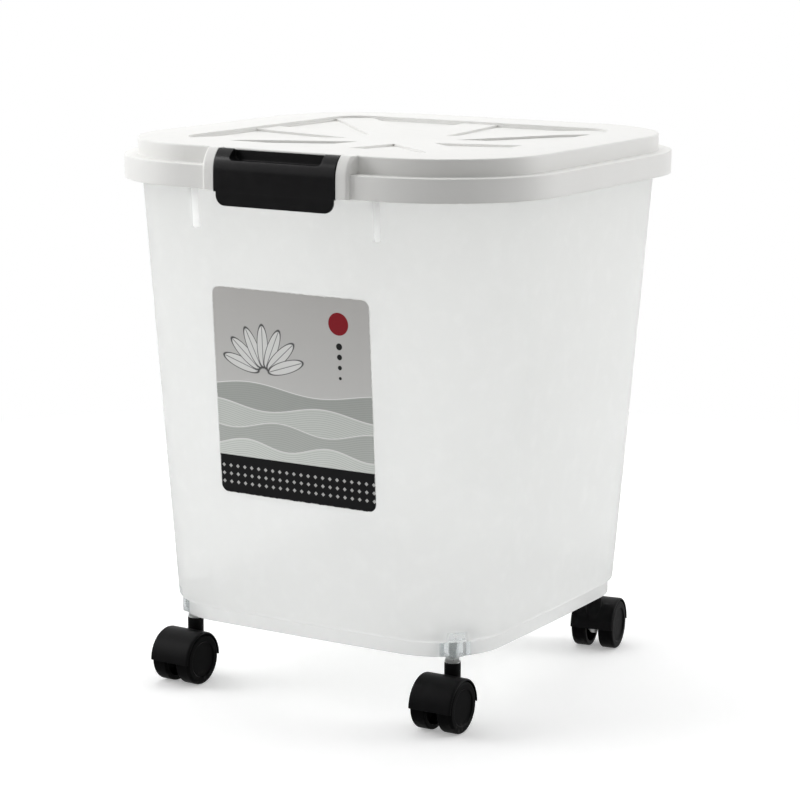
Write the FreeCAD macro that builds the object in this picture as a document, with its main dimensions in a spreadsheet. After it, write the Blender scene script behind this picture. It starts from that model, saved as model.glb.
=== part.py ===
import FreeCAD, Part
import math
import os
import Sketcher

# Rice bucket on four twin-wheel casters: a drafted tub of milky plastic, a hinged lid and a front latch.
# The frame: +Z up from the floor, the front and its latch towards -Y, the origin under the middle.

# Driving dimensions in millimetres, angles in degrees
SIZES = {
    # Tub, measured outside. Its draft is how far each side draws in from the rim to the foot
    "plinth_height": 11.0,
    "plinth_inset": 3.5,
    "plinth_wall": 2.4,
    "tub_rim_width": 342.0,
    "tub_corner_share": 0.2515,
    "tub_draft": 26.3,
    "tub_height": 345.5,
    "tub_wall": 2.4,
    "tub_floor": 2.8,
    "tub_foot_round": 3.0,
    "tub_floor_round": 6.0,
    "side_bow": 3.0,
    # Rim flange and the lip that turns down from it
    "rim_thickness": 2.4,
    "lip_reach": 7.8,
    "lip_wall": 2.2,
    "lip_depth": 10.0,
    # Catch for the latch's hook, behind the latch under the lid's skirt
    "catch_margin": 3.0,
    "catch_drop": 6.0,
    # Corner bosses that take the caster stems
    "stem_margin": 26.7,
    "boss_diameter": 20.0,
    "boss_drop": 0.6,
    "boss_cap_diameter": 28.0,
    "boss_cap_height": 8.0,
    # Short ribs under the front of the rim
    "rib_spacing_share": 0.465,
    "rib_shift": 2.0,
    "rib_width": 2.8,
    "rib_depth": 8.3,
    "rib_length": 42.5,
    "rib_round": 3.5,
    # Lid
    "skirt_gap": 3.0,
    "skirt_wall": 2.2,
    "skirt_height": 17.7,
    "skirt_overlap": 11.5,
    "ledge_thickness": 3.0,
    "ledge_round": 0.8,
    "ledge_width": 10.3,
    "tier_height": 13.1,
    "tier_wall": 2.4,
    "tier_round": 1.4,
    "lid_plate": 2.4,
    # Star of bars and sunk panels in the lid's top, which falls towards its middle
    "field_margin": 46.7,
    "field_corner": 26.0,
    "field_depth": 1.8,
    "dish_depth": 4.0,
    "dish_margin": 1.0,
    "panel_margin": 0.6,
    "panel_depth": 1.8,
    "bar_width": 32.6,
    # Ring that drops into the tub's mouth, and the seal beside it
    "plug_gap": 3.6,
    "plug_wall": 2.0,
    "plug_depth": 2.5,
    "seal_inset": 0.8,
    "seal_section": 6.0,
    "seal_gap": 0.3,
    "seal_round": 0.8,
    # Front latch and the two bosses that carry it
    "latch_width_share": 0.3076,
    "latch_shift": 3.6,
    "latch_proud": 4.2,
    "latch_wall": 2.4,
    "latch_drop": 11.0,
    "latch_corner": 8.0,
    "latch_step_drop": 0.8,
    "tongue_inset": 1.4,
    "tongue_setback": 0.7,
    "pivot_setback": 4.0,
    "latch_barrel": 10.4,
    "latch_shoulder": 15.8,
    "latch_trunnion": 5.0,
    "trunnion_length": 6.4,
    "pocket_margin": 12.6,
    "pocket_depth": 8.4,
    "pocket_wall": 2.2,
    "pocket_round": 3.0,
    "hook_margin": 20.6,
    "hook_height": 3.7,
    "hook_gap": 0.7,
    "hook_clearance": 0.6,
    "hook_chamfer": 2.0,
    "latch_side_gap": 0.6,
    "boss_setback": 0.6,
    "boss_width": 10.2,
    "boss_edge_round": 2.5,
    # Rear hinge
    "hinge_stand": 5.0,
    "hinge_drop": 6.0,
    "hinge_spacing_share": 0.468,
    "hinge_barrel": 8.8,
    "hinge_pin": 4.0,
    "knuckle_width": 14.0,
    "ear_width": 6.0,
    "ear_drop": 16.0,
    "hinge_side_gap": 0.4,
    # Label on the front wall
    "label_width": 139.0,
    "label_height": 161.0,
    "label_lift": 109.0,
    "label_shift": 1.5,
    "label_corner": 7.0,
    "label_film": 0.2,
    "label_gap": 0.1,
    # Caster wheels, axle and hood, and the neck above the hood
    "neck_height": 13.8,
    "wheel_diameter": 40.0,
    "wheel_width": 12.4,
    "wheel_gap": 10.8,
    "wheel_rim": 3.6,
    "wheel_web": 3.0,
    "wheel_hub": 10.0,
    "wheel_edge": 2.2,
    "wheel_dish": 1.0,
    "wheel_dish_diameter": 27.0,
    "axle_diameter": 4.0,
    "axle_end_wall": 2.2,
    "axle_end_gap": 0.3,
    "axle_boss": 13.0,
    "caster_trail": 14.5,
    "hood_wall": 1.5,
    "hood_clearance": 0.7,
    "hood_overhang": 0.3,
    "hood_edge_round": 2.0,
    "web_gap": 0.5,
    # Caster collar, stem, its hexagon and its retaining ring
    "collar_diameter": 12.6,
    "collar_gap": 6.4,
    "collar_foot": 27.0,
    "collar_round": 1.0,
    "pin_diameter": 6.0,
    "pin_foot": 15.5,
    "thread_diameter": 6.0,
    "thread_length": 12.6,
    "hexagon_width": 10.0,
    "hexagon_height": 3.2,
    "hexagon_gap": 0.3,
    "stem_chamfer": 0.6,
    "ring_groove": 4.8,
    "ring_width": 8.4,
    "ring_thickness": 1.0,
    "ring_height": 17.6,
    "ring_gap": 0.05,
    "ring_opening": 40.0,
    # Fits and the overrun that carries a cut past the face it starts from
    "running_clearance": 0.06,
    "press_interference": 0.02,
    "thread_clearance": 0.04,
    "cut_overrun": 20.0,
    # Headings of the casters about their stems, from a wheel trailing straight back
    "heading_front_right": 181.0,
    "heading_front_left": 179.0,
    "heading_rear_right": 9.0,
    "heading_rear_left": 150.0,
}

ROOT_TWO = math.sqrt(2)
# Rounds in which the place of a bowed square's corner arcs settles
SETTLING_ROUNDS = 40

doc = FreeCAD.newDocument("rice_bucket")
sheet = doc.addObject("Spreadsheet::Sheet", "Sizes")
for row, (name, number) in enumerate(SIZES.items(), start=1):
    sheet.set(f"A{row}", name)
    sheet.set(f"B{row}", str(number))
    sheet.setAlias(f"B{row}", name)
doc.recompute()


class Size:
    """A number of the sheet or one worked out from such numbers, with the expression that keeps it current."""

    def __init__(self, value, text):
        self.value = value
        self.text = text

    @staticmethod
    def of(thing):
        if isinstance(thing, Size):
            return thing
        return Size(float(thing), repr(float(thing)))

    def joined(self, other, sign, value):
        return Size(value, f"({self.text} {sign} {other.text})")

    def __add__(self, other):
        other = Size.of(other)
        return self.joined(other, "+", self.value + other.value)

    def __sub__(self, other):
        other = Size.of(other)
        return self.joined(other, "-", self.value - other.value)

    def __mul__(self, other):
        other = Size.of(other)
        return self.joined(other, "*", self.value * other.value)

    def __truediv__(self, other):
        other = Size.of(other)
        return self.joined(other, "/", self.value / other.value)

    def __neg__(self):
        return Size(-self.value, f"(0 - {self.text})")


class Sheet:
    """The sheet's numbers by their names."""

    def __getattr__(self, name):
        return Size(float(sheet.get(name)), f"Sizes.{name}")


size = Sheet()
ZERO = Size(0.0, "0.0")


def origin_part(body, role):
    """One of a body's own planes or axes."""
    return next(part for part in body.Origin.OriginFeatures if part.Role == role)


def new_body(label):
    body = doc.addObject("PartDesign::Body", label)
    body.Label = label
    return body


def new_sketch(body, name, plane, away, across=ZERO, along=ZERO):
    """A sketch parallel to one of the body's planes, moved away from it and along it."""
    sketch = body.newObject("Sketcher::SketchObject", name)
    sketch.AttachmentSupport = [(origin_part(body, plane), "")]
    sketch.MapMode = "FlatFace"
    for letter, shift in zip("xyz", (across, along, away)):
        sketch.setExpression(f"AttachmentOffset.Base.{letter}", shift.text)
    return sketch


def dimension(sketch, kind, *where_and_length):
    """A dimension of the sketch that follows the sheet."""
    *where, length = where_and_length
    index = sketch.addConstraint(Sketcher.Constraint(kind, *where, length.value))
    sketch.setExpression(f"Constraints[{index}]", length.text)


def place_point(sketch, edge, end, point):
    """Holds an end of an edge at a point given from the sketch's origin."""
    for kind, axis, length in (("DistanceX", -2, point[0]), ("DistanceY", -1, point[1])):
        if length.value == 0:
            sketch.addConstraint(Sketcher.Constraint("PointOnObject", edge, end, axis))
        else:
            dimension(sketch, kind, -1, 1, edge, end, length)


def arc_between(start, end, radius):
    """The shorter arc of a radius between two points, bulging to the left of the way between them if positive.
    It is drawn anticlockwise, so one that bulges to the left starts at the far point."""
    chord = end - start
    half = chord.Length / 2
    rise = math.sqrt(max(radius * radius - half * half, 0))
    right = FreeCAD.Vector(chord.y, -chord.x, 0).normalize()
    middle = (start + end) / 2 - right * math.copysign(abs(radius) - rise, radius)
    return Part.Arc(end, middle, start) if radius > 0 else Part.Arc(start, middle, end)


def draw_outline(sketch, corners, arcs=None):
    """A closed outline through the corners. arcs gives the radius of each curved edge by the number of its
    first corner, positive where the edge bulges to the left of its travel."""
    arcs = arcs or {}
    points = [FreeCAD.Vector(across.value, up.value, 0) for across, up in corners]
    count = len(points)
    edges = []
    ends = []
    for number, start in enumerate(points):
        end = points[(number + 1) % count]
        radius = arcs[number].value if number in arcs else 0
        shape = arc_between(start, end, radius) if radius else Part.LineSegment(start, end)
        edges.append(sketch.addGeometry(shape, False))
        ends.append((2, 1) if radius > 0 else (1, 2))
    for number, edge in enumerate(edges):
        following = (number + 1) % count
        joint = (edge, ends[number][1], edges[following], ends[following][0])
        sketch.addConstraint(Sketcher.Constraint("Coincident", *joint))
    for number, edge in enumerate(edges):
        place_point(sketch, edge, ends[number][0], corners[number])
        if number in arcs:
            radius = arcs[number]
            dimension(sketch, "Radius", edge, radius if radius.value > 0 else -radius)


def draw_circle(sketch, centre, diameter):
    middle = FreeCAD.Vector(centre[0].value, centre[1].value, 0)
    circle = sketch.addGeometry(Part.Circle(middle, FreeCAD.Vector(0, 0, 1), diameter.value / 2), False)
    place_point(sketch, circle, 3, centre)
    dimension(sketch, "Diameter", circle, diameter)


def bowed_radius(half):
    """Radius of a side that bulges by the sheet's bow over its whole length."""
    return (half * half + size.side_bow * size.side_bow) / (size.side_bow * 2)


def draw_bowed_square(sketch, half, corner, side):
    """A square whose sides are arcs of a large radius, joined by tangent corner arcs."""
    sag = side - half
    reach = side.value - corner.value
    centre = half.value - corner.value
    for _ in range(SETTLING_ROUNDS):
        centre = math.sqrt(max(reach * reach - centre * centre, 0)) - sag.value
    normal = FreeCAD.Vector(0, 0, 1)
    lean = math.atan2(centre, centre + sag.value)
    quarter = math.pi / 2
    sides = []
    corners = []
    for turn in range(4):
        angle = turn * quarter
        out = FreeCAD.Vector(math.cos(angle), math.sin(angle), 0)
        flank = Part.Circle(out * -sag.value, normal, side.value)
        sides.append(sketch.addGeometry(Part.ArcOfCircle(flank, angle - lean, angle + lean), False))
        diagonal = angle + quarter / 2
        middle = FreeCAD.Vector(math.cos(diagonal), math.sin(diagonal), 0) * (centre * ROOT_TWO)
        bend = Part.Circle(middle, normal, corner.value)
        arc = Part.ArcOfCircle(bend, angle + lean, angle + quarter - lean)
        corners.append(sketch.addGeometry(arc, False))
    for turn in range(4):
        level = turn % 2 == 0
        sketch.addConstraint(Sketcher.Constraint("PointOnObject", sides[turn], 3, -1 if level else -2))
        order = (sides[turn], 3, -1, 1) if turn < 2 else (-1, 1, sides[turn], 3)
        dimension(sketch, "DistanceX" if level else "DistanceY", *order, sag)
        dimension(sketch, "Radius", sides[turn], side)
        dimension(sketch, "Radius", corners[turn], corner)
        following = sides[(turn + 1) % 4]
        sketch.addConstraint(Sketcher.Constraint("Tangent", sides[turn], 2, corners[turn], 1))
        sketch.addConstraint(Sketcher.Constraint("Tangent", corners[turn], 2, following, 1))


def bowed_sketch(body, name, height, *outlines):
    """A level sketch of one bowed square, or of two that bound a ring. Each is a half width and two radii."""
    sketch = new_sketch(body, name, "XY_Plane", height)
    for outline in outlines:
        draw_bowed_square(sketch, *outline)
    return sketch


def inset(outline, depth):
    """A bowed square drawn in by the same depth all round."""
    return tuple(length - depth for length in outline)


def add_feature(body, kind, name, sketch, length, **settings):
    feature = body.newObject(f"PartDesign::{kind}", name)
    feature.Profile = sketch
    feature.setExpression("Length", length.text)
    for key, setting in settings.items():
        setattr(feature, key, setting)
    doc.recompute()
    return feature


def pad(body, name, sketch, length, **settings):
    return add_feature(body, "Pad", name, sketch, length, **settings)


def pocket(body, name, sketch, length, **settings):
    """A cut. One that removes nothing points the wrong way, which is an error."""
    before = body.Shape.Volume
    cut = add_feature(body, "Pocket", name, sketch, length, **settings)
    if not body.Shape.Volume < before:
        raise RuntimeError(f"{name} removes nothing from {body.Label}")
    return cut


def revolve(body, name, sketch, axis, angle=360.0):
    turned = body.newObject("PartDesign::Revolution", name)
    turned.Profile = sketch
    turned.ReferenceAxis = (sketch, [axis])
    turned.Angle = angle
    doc.recompute()
    return turned


def groove(body, name, sketch):
    """A turned cut about the sketch's upright axis. One that removes nothing is an error."""
    before = body.Shape.Volume
    cut = body.newObject("PartDesign::Groove", name)
    cut.Profile = sketch
    cut.ReferenceAxis = (sketch, ["V_Axis"])
    cut.Angle = 360.0
    doc.recompute()
    if not body.Shape.Volume < before:
        raise RuntimeError(f"{name} removes nothing from {body.Label}")
    return cut


def all_at(letter, place):
    """Chooses edges that lie wholly at one place along an axis."""
    tolerance = size.running_clearance.value / 10
    return lambda points: all(abs(getattr(point, letter) - place.value) < tolerance for point in points)


def drafted_block(body, name, outline, top, depth, draft):
    """A block that hangs down from an outline at its top and draws in by the draft towards its foot."""
    sketch = bowed_sketch(body, f"{name}_outline", top, outline)
    block = pad(body, f"{name}_block", sketch, depth, Reversed=True)
    at_top = all_at("z", top)
    at_foot = all_at("z", top - depth)
    flanks = []
    for number, face in enumerate(block.Shape.Faces, start=1):
        points = [vertex.Point for vertex in face.Vertexes]
        if at_top(points):
            crown = f"Face{number}"
        elif not at_foot(points):
            flanks.append(f"Face{number}")
    drafted = body.newObject("PartDesign::Draft", f"{name}_draft")
    drafted.Base = (block, flanks)
    drafted.NeutralPlane = (block, [crown])
    drafted.Reversed = True
    drafted.setExpression("Angle", f"atan({(draft / depth).text})")
    doc.recompute()
    return drafted


def mirror_across(body, name, originals, plane="YZ_Plane"):
    copy = body.newObject("PartDesign::Mirrored", name)
    copy.Originals = originals
    copy.MirrorPlane = (origin_part(body, plane), [""])
    body.Tip = copy
    doc.recompute()
    return copy


def round_edges(body, name, radius, chosen):
    """Rounds the edges of the body's last feature that chosen picks by their end points and their middle."""
    base = body.Tip
    names = []
    for number, edge in enumerate(base.Shape.Edges, start=1):
        middle = edge.valueAt((edge.FirstParameter + edge.LastParameter) / 2)
        if chosen([vertex.Point for vertex in edge.Vertexes] + [middle]):
            names.append(f"Edge{number}")
    if not names:
        raise RuntimeError(f"{name} finds no edge on {body.Label}")
    fillet = body.newObject("PartDesign::Fillet", name)
    fillet.Base = (base, names)
    fillet.setExpression("Radius", radius.text)
    doc.recompute()
    return fillet


# Heights that several pieces share
axle_z = size.wheel_diameter / 2
well_radius = axle_z + size.hood_clearance
hood_radius = well_radius + size.hood_wall
caster_height = axle_z + hood_radius + size.neck_height
collar_top_z = caster_height - size.collar_gap
tub_foot_z = caster_height + size.plinth_height
tub_floor_z = tub_foot_z + size.tub_floor
rim_z = tub_foot_z + size.tub_height
lip_foot_z = rim_z - size.lip_depth
skirt_foot_z = rim_z - size.skirt_overlap
ledge_z = skirt_foot_z + size.skirt_height
ledge_under_z = ledge_z - size.ledge_thickness
lid_top_z = ledge_z + size.tier_height
bar_z = lid_top_z - size.field_depth
panel_z = bar_z - size.panel_depth
plate_z = panel_z - size.lid_plate
plate_under_z = plate_z - size.dish_depth
stem_hole_z = caster_height - size.boss_drop

# Outlines that several pieces share, each a half width, a corner radius and a side radius
tub_rim_half = size.tub_rim_width / 2
tub_rim_corner = size.tub_rim_width * size.tub_corner_share
rim_outline = (tub_rim_half, tub_rim_corner, bowed_radius(tub_rim_half))
foot_outline = inset(rim_outline, size.tub_draft)
lip_half = tub_rim_half + size.lip_reach
skirt_half = lip_half + size.skirt_gap + size.skirt_wall
tier_half = skirt_half - size.ledge_width


def outline_of(half):
    """A bowed square around the tub's rim, or within it, whose corners share the centres of the rim's own."""
    return half, tub_rim_corner + half - tub_rim_half, bowed_radius(half)


lip_outline = outline_of(lip_half)
skirt_outline = outline_of(skirt_half)
tier_outline = outline_of(tier_half)
stem_inset = foot_outline[0] - size.stem_margin
hinge_out = skirt_half + size.hinge_stand
hinge_half_spacing = size.tub_rim_width * size.hinge_spacing_share / 2
latch_middle = size.latch_shift
latch_half = size.tub_rim_width * size.latch_width_share / 2
hook_half = latch_half - size.hook_margin


def tub_outline_at(height):
    """The tub's outside between its foot and its rim, at a height above its foot."""
    rise = height / size.tub_height
    return tuple(low + (high - low) * rise for low, high in zip(foot_outline, rim_outline))


def draw_corner_circles(sketch, diameter):
    """One circle on each caster stem's axis."""
    for across in (stem_inset, -stem_inset):
        for along in (stem_inset, -stem_inset):
            draw_circle(sketch, (across, along), diameter)


# Tub: the drafted solid with its plinth, corner bosses, rim, lip, ribs, catch and hinge ears
hinge_z = skirt_foot_z - size.hinge_drop
tub_solid = new_body("tub_solid")
drafted_block(tub_solid, "tub", rim_outline, rim_z, size.tub_height, size.tub_draft)
round_edges(tub_solid, "tub_foot_edge", size.tub_foot_round, all_at("z", tub_foot_z))

plinth_outline = inset(foot_outline, size.plinth_inset)
plinth_sketch = bowed_sketch(
    tub_solid, "plinth_ring", caster_height, plinth_outline, inset(plinth_outline, size.plinth_wall)
)
pad(tub_solid, "plinth", plinth_sketch, size.plinth_height)

boss_sketch = new_sketch(tub_solid, "corner_boss_circles", "XY_Plane", stem_hole_z)
draw_corner_circles(boss_sketch, size.boss_diameter)
pad(tub_solid, "corner_bosses", boss_sketch, size.plinth_height + size.boss_drop)

flange_sketch = bowed_sketch(tub_solid, "rim_flange_outline", rim_z - size.rim_thickness, lip_outline)
pad(tub_solid, "rim_flange", flange_sketch, size.rim_thickness)
lip_sketch = bowed_sketch(tub_solid, "lip_ring", lip_foot_z, lip_outline, inset(lip_outline, size.lip_wall))
pad(tub_solid, "rim_lip", lip_sketch, size.lip_depth)

rib_foot_z = rim_z - size.rib_length
rib_top_z = rim_z - size.rim_thickness / 2


def wall_face_at(height):
    """Distance of the tub's outside from the middle plane, at a height above the floor."""
    return tub_outline_at(height - tub_foot_z)[0]


rib_top_out = wall_face_at(rib_top_z)
rib_foot_out = wall_face_at(rib_foot_z)
rib_corners = [
    (size.tub_wall - rib_top_out, rib_top_z),
    (size.tub_wall - rib_foot_out, rib_foot_z),
    (size.rib_round - rib_foot_out - size.rib_depth, rib_foot_z),
    (-(rib_foot_out + size.rib_depth), rib_foot_z + size.rib_round),
    (-(rib_top_out + size.rib_depth), rib_top_z),
]
rib_half_spacing = size.tub_rim_width * size.rib_spacing_share / 2
for side_name, rib_middle in (
    ("left", size.rib_shift - rib_half_spacing),
    ("right", size.rib_shift + rib_half_spacing),
):
    rib_sketch = new_sketch(tub_solid, f"{side_name}_rib_side", "YZ_Plane", rib_middle)
    draw_outline(rib_sketch, rib_corners, {2: size.rib_round})
    pad(tub_solid, f"{side_name}_rib", rib_sketch, size.rib_width, SideType="Symmetric")

catch_foot_z = skirt_foot_z - size.catch_drop
catch_root = size.tub_wall / 2 - wall_face_at(catch_foot_z)
catch_sketch = new_sketch(tub_solid, "catch_side", "YZ_Plane", latch_middle)
draw_outline(
    catch_sketch,
    [(catch_root, catch_foot_z), (-lip_half, catch_foot_z), (-lip_half, rib_top_z), (catch_root, rib_top_z)],
)
pad(tub_solid, "catch", catch_sketch, (hook_half + size.catch_margin) * 2, SideType="Symmetric")

hinge_radius = size.hinge_barrel / 2
ear_root_out = wall_face_at(hinge_z) - size.tub_wall
ear_corners = [
    (ear_root_out, hinge_z + hinge_radius),
    (hinge_out, hinge_z + hinge_radius),
    (hinge_out + hinge_radius, hinge_z),
    (hinge_out, hinge_z - hinge_radius),
    (ear_root_out, hinge_z - size.ear_drop),
]
ear_step = size.knuckle_width / 2 + size.hinge_side_gap + size.ear_width / 2
ear_pads = []
for side_name, ear_middle in (
    ("inner", hinge_half_spacing - ear_step),
    ("outer", hinge_half_spacing + ear_step),
):
    ear_sketch = new_sketch(tub_solid, f"{side_name}_ear_side", "YZ_Plane", ear_middle)
    draw_outline(ear_sketch, ear_corners, {1: hinge_radius, 2: hinge_radius})
    ear_pads.append(pad(tub_solid, f"{side_name}_ear", ear_sketch, size.ear_width, SideType="Symmetric"))
mirror_across(tub_solid, "hinge_ears", ear_pads)
hinge_length = (hinge_half_spacing + ear_step + size.ear_width) * 2
ear_hole_sketch = new_sketch(tub_solid, "ear_hole", "YZ_Plane", ZERO)
draw_circle(ear_hole_sketch, (hinge_out, hinge_z), size.hinge_pin - size.press_interference * 2)
pocket(tub_solid, "ear_holes", ear_hole_sketch, hinge_length, SideType="Symmetric")

stem_hole_sketch = new_sketch(tub_solid, "stem_hole_circles", "XY_Plane", stem_hole_z)
draw_corner_circles(stem_hole_sketch, size.thread_diameter + size.thread_clearance * 2)
pocket(tub_solid, "stem_holes", stem_hole_sketch, size.thread_length, Reversed=True)

# Hollow of the tub, drafted like the outside, with the caps of the corner bosses standing up in it
tub_hollow = new_body("tub_hollow")
mouth_outline = inset(tub_outline_at(size.tub_height + size.cut_overrun), size.tub_wall)
hollow_depth = size.tub_height - size.tub_floor + size.cut_overrun
hollow_draft = size.tub_draft * hollow_depth / size.tub_height
drafted_block(tub_hollow, "hollow", mouth_outline, rim_z + size.cut_overrun, hollow_depth, hollow_draft)
round_edges(tub_hollow, "hollow_floor_edge", size.tub_floor_round, all_at("z", tub_floor_z))
cap_sketch = new_sketch(tub_hollow, "boss_cap_circles", "XY_Plane", tub_floor_z)
draw_corner_circles(cap_sketch, size.boss_cap_diameter)
pocket(tub_hollow, "boss_caps", cap_sketch, size.boss_cap_height, Reversed=True)

bucket = doc.addObject("Part::Cut", "bucket")
bucket.Base = tub_solid
bucket.Tool = tub_hollow
bucket.Refine = True

# Label: a thin film on the drafted front wall, cut from a skin around the whole tub
label_solids = []
for label_name, label_out in (
    ("label_face", size.label_gap + size.label_film),
    ("label_back", size.label_gap),
):
    label_body = new_body(label_name)
    skin_outline = inset(rim_outline, -label_out)
    drafted_block(label_body, label_name, skin_outline, rim_z, size.tub_height, size.tub_draft)
    label_solids.append(label_body)
label_skin = doc.addObject("Part::Cut", "label_skin")
label_skin.Base, label_skin.Tool = label_solids
label_shape = new_body("label_shape")
label_sketch = new_sketch(label_shape, "label_outline", "XZ_Plane", ZERO, across=size.label_shift)
label_half = size.label_width / 2
label_foot_z = caster_height + size.label_lift
label_top_z = label_foot_z + size.label_height
label_turn = size.label_corner
draw_outline(
    label_sketch,
    [
        (label_turn - label_half, label_top_z),
        (label_half - label_turn, label_top_z),
        (label_half, label_top_z - label_turn),
        (label_half, label_foot_z + label_turn),
        (label_half - label_turn, label_foot_z),
        (label_turn - label_half, label_foot_z),
        (-label_half, label_foot_z + label_turn),
        (-label_half, label_top_z - label_turn),
    ],
    {edge: label_turn for edge in (1, 3, 5, 7)},
)
pad(label_shape, "label_prism", label_sketch, tub_rim_half + size.cut_overrun)
front_label = doc.addObject("Part::Common", "front_label")
front_label.Base = label_skin
front_label.Tool = label_shape

# Lid: skirt and upper tier, hollow underneath, with the star sunk in its top
lid_solid = new_body("lid_solid")
skirt_sketch = bowed_sketch(lid_solid, "skirt_outline", skirt_foot_z, skirt_outline)
pad(lid_solid, "skirt_block", skirt_sketch, size.skirt_height)
tier_sketch = bowed_sketch(lid_solid, "tier_outline", ledge_z, tier_outline)
pad(lid_solid, "tier_block", tier_sketch, size.tier_height)
round_edges(lid_solid, "tier_edge", size.tier_round, all_at("z", lid_top_z))
outer_ledge = all_at("z", ledge_z)
ledge_limit = (skirt_half.value + tier_half.value) / 2


def on_skirt_edge(points):
    """Chooses the skirt's own upper edge, not the foot of the tier beside it."""
    far_out = max(max(abs(point.x), abs(point.y)) for point in points)
    diagonal = max(point.Length for point in points)
    return outer_ledge(points) and (far_out > ledge_limit or diagonal > ledge_limit * ROOT_TWO)


round_edges(lid_solid, "ledge_edge", size.ledge_round, on_skirt_edge)

skirt_inside = inset(skirt_outline, size.skirt_wall)
tier_inside = inset(tier_outline, size.tier_wall)
under_sketch = bowed_sketch(lid_solid, "skirt_inside", skirt_foot_z, skirt_inside)
pocket(lid_solid, "skirt_hollow", under_sketch, ledge_under_z - skirt_foot_z, Reversed=True)
tier_under_sketch = bowed_sketch(lid_solid, "tier_inside", ledge_under_z, tier_inside)
pocket(lid_solid, "tier_hollow", tier_under_sketch, plate_under_z - ledge_under_z, Reversed=True)

field_half = tier_half - size.field_margin
dish_radius = field_half - size.dish_margin


def draw_field(sketch, half, corner):
    """A square with rounded corners, level with the lid."""
    near = half - corner
    corners = [
        (-near, half), (near, half), (half, near), (half, -near),
        (near, -half), (-near, -half), (-half, -near), (-half, near),
    ]
    draw_outline(sketch, corners, {edge: corner for edge in (1, 3, 5, 7)})


under_reach = tier_inside[0] - size.lid_plate
dish_under_sketch = new_sketch(lid_solid, "dish_underside", "XZ_Plane", ZERO)
draw_outline(
    dish_under_sketch,
    [(ZERO, plate_under_z), (under_reach, plate_under_z), (under_reach, plate_z), (dish_radius, plate_z)],
)
groove(lid_solid, "dish_underside_cut", dish_under_sketch)

border_sketch = bowed_sketch(lid_solid, "border_groove_outline", plate_under_z, tier_inside)
draw_field(border_sketch, field_half + size.lid_plate, size.field_corner + size.lid_plate)
border_z = lid_top_z - size.lid_plate
pocket(lid_solid, "border_groove", border_sketch, border_z - plate_under_z, Reversed=True)

plug_half = tub_rim_half - size.tub_wall - size.plug_gap
plug_outline = outline_of(plug_half)
plug_foot_z = rim_z - size.plug_depth
plug_inside = inset(plug_outline, size.plug_wall)
plug_sketch = bowed_sketch(lid_solid, "plug_ring", plug_foot_z, plug_outline, plug_inside)
pad(lid_solid, "plug", plug_sketch, border_z - plug_foot_z + size.lid_plate / 2)

field_sketch = new_sketch(lid_solid, "field_outline", "XY_Plane", lid_top_z)
draw_field(field_sketch, field_half, size.field_corner)
pocket(lid_solid, "field", field_sketch, size.field_depth)
dish_sketch = new_sketch(lid_solid, "dish_section", "XZ_Plane", ZERO)
draw_outline(dish_sketch, [(ZERO, bar_z - size.dish_depth), (dish_radius, bar_z), (ZERO, bar_z)])
groove(lid_solid, "dish", dish_sketch)

# Latch bosses on the lid: lugs with the latch's own rounded shoulder
latch_face = -(skirt_half + size.latch_proud)
pivot_y = size.pivot_setback - skirt_half
barrel_radius = size.latch_barrel / 2
pivot_z = lid_top_z - barrel_radius
shoulder_z = lid_top_z - size.latch_shoulder


def shoulder_over(run):
    """Radius of a shoulder that meets the lid's top at a tangent, by how far it runs forward."""
    return (run * run + size.latch_shoulder * size.latch_shoulder) / (run * 2)


tier_face_in = size.tier_wall / 2 - tier_half
skirt_face_in = size.skirt_wall / 2 - skirt_half
boss_step_z = ledge_z - size.ledge_thickness / 2
boss_inner_x = latch_half + size.latch_side_gap
boss_outer_x = boss_inner_x + size.boss_width
boss_face = latch_face + size.boss_setback
boss_corners = [
    (boss_face, skirt_foot_z),
    (boss_face, shoulder_z),
    (pivot_y, lid_top_z),
    (tier_face_in, lid_top_z),
    (tier_face_in, boss_step_z),
    (skirt_face_in, boss_step_z),
    (skirt_face_in, skirt_foot_z),
]
for side_name, boss_start in (("left", latch_middle - boss_outer_x), ("right", latch_middle + boss_inner_x)):
    latch_boss_sketch = new_sketch(lid_solid, f"{side_name}_latch_boss_side", "YZ_Plane", boss_start)
    draw_outline(latch_boss_sketch, boss_corners, {1: shoulder_over(pivot_y - boss_face)})
    pad(lid_solid, f"{side_name}_latch_boss", latch_boss_sketch, size.boss_width)


def on_boss_edge(points):
    """Chooses the outer upright edge of each boss's front face, which its rounded shoulder carries on."""
    away = [abs(abs(point.x - latch_middle.value) - boss_outer_x.value) for point in points]
    ahead = [abs(point.y - boss_face.value) for point in points]
    return max(away + ahead) < size.running_clearance.value


round_edges(lid_solid, "latch_boss_edges", size.boss_edge_round, on_boss_edge)
trunnion_reach = latch_half + size.trunnion_length
trunnion_hole_sketch = new_sketch(lid_solid, "trunnion_hole", "YZ_Plane", latch_middle)
trunnion_hole = size.latch_trunnion + size.running_clearance * 2
draw_circle(trunnion_hole_sketch, (pivot_y, pivot_z), trunnion_hole)
trunnion_bore = (trunnion_reach + size.latch_side_gap) * 2
pocket(lid_solid, "trunnion_holes", trunnion_hole_sketch, trunnion_bore, SideType="Symmetric")

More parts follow.
